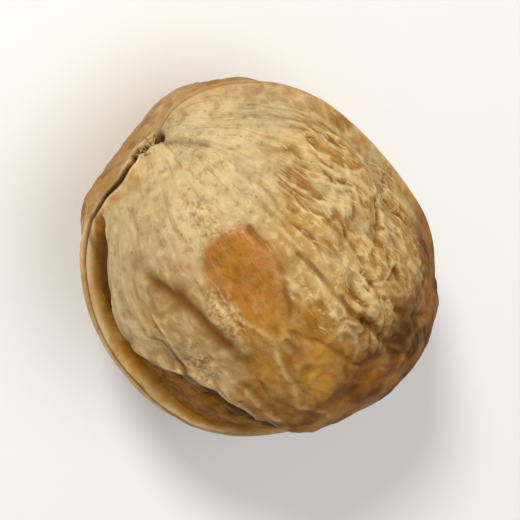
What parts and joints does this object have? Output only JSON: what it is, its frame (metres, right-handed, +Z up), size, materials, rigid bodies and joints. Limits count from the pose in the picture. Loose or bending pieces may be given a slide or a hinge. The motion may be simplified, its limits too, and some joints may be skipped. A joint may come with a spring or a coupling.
{
  "type": "walnut",
  "caption": "Whole walnut in its closed shell, with a raised seam ridge, wrinkled netted cheeks, a dented stem end and a short blunt tip.",
  "frame": {"origin": "under the middle of the nut, on the surface it lies on", "axes": "+X from the stem end towards the tip, +Y level across the seam's plane, +Z up through the upper cheek"},
  "size_m": [0.043, 0.0358, 0.0347],
  "materials": {
    "nut_shell": "dry satin nut shell: pale tan on the ridges and the stem shoulder, smooth amber patches, brown pits and seam"
  },
  "bodies": {
    "root": {"walnut_shell": "nut_shell"}
  },
  "joints": []
}
